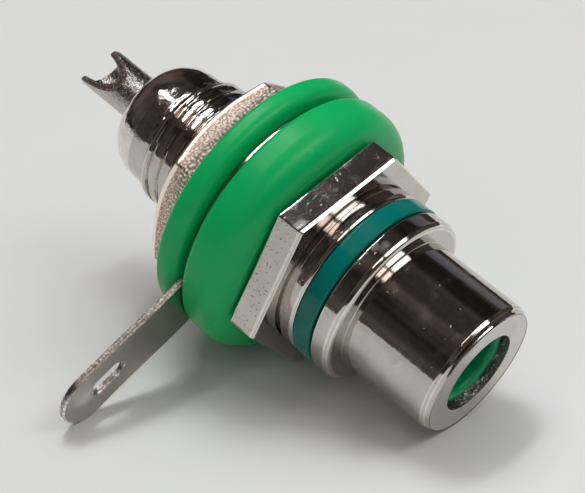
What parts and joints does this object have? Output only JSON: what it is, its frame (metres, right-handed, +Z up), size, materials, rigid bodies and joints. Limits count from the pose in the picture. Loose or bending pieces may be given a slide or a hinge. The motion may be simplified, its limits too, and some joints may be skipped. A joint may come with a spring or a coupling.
{
  "type": "rca socket",
  "caption": "Panel-mount phono socket lying on its side: nickel-plated shell with hexagonal flange and colour ring, green insulating washers, solder tag, nut and solder cup.",
  "frame": {"origin": "middle of the bounding box's base, on the surface that the socket lies on", "axes": "+Z up, +Y along the socket towards the solder cup with the mouth towards -Y and nose down by 17.16 degrees, the tag's tongue towards -X"},
  "size_m": [0.0234, 0.0312, 0.0163],
  "materials": {
    "nickel_plate": "brass with polished nickel plating",
    "contact_plate": "brass with bright nickel plating",
    "tag_plate": "stamped brass sheet with nickel plating",
    "nut_plate": "brass with nickel plating, rough sheared flats",
    "washer_plastic": "satin green plastic",
    "insulator_plastic": "satin green plastic",
    "ring_plastic": "glossy teal plastic"
  },
  "bodies": {
    "socket": {"shell": "nickel_plate", "colour_ring": "ring_plastic", "front_insulator": "insulator_plastic", "centre_contact": "contact_plate", "rear_insulator": "insulator_plastic", "front_washer": "washer_plastic"},
    "tag": {"solder_tag": "tag_plate"},
    "washer": {"rear_washer": "washer_plastic"},
    "nut": {"hex_nut": "nut_plate"}
  },
  "joints": [
    {"name": "tag_swivel", "type": "hinge", "parent": "socket", "child": "tag", "pos_m": [0.00367, -0.00014, 0.00824], "axis": [0, 0.9555, 0.295], "continuous": true},
    {"name": "nut_travel", "type": "slide", "parent": "socket", "child": "washer", "axis": [0, 0.9555, 0.295], "range_m": [0, 0.004]},
    {"name": "nut_turn", "type": "hinge", "parent": "washer", "child": "nut", "pos_m": [0.00367, 0.00254, 0.00907], "axis": [0, 0.9555, 0.295], "range_deg": [0, 1800]}
  ],
  "couplings": [
    {"joint": "nut_turn", "follows": "nut_travel", "rad_per_m": 7853.9}
  ]
}
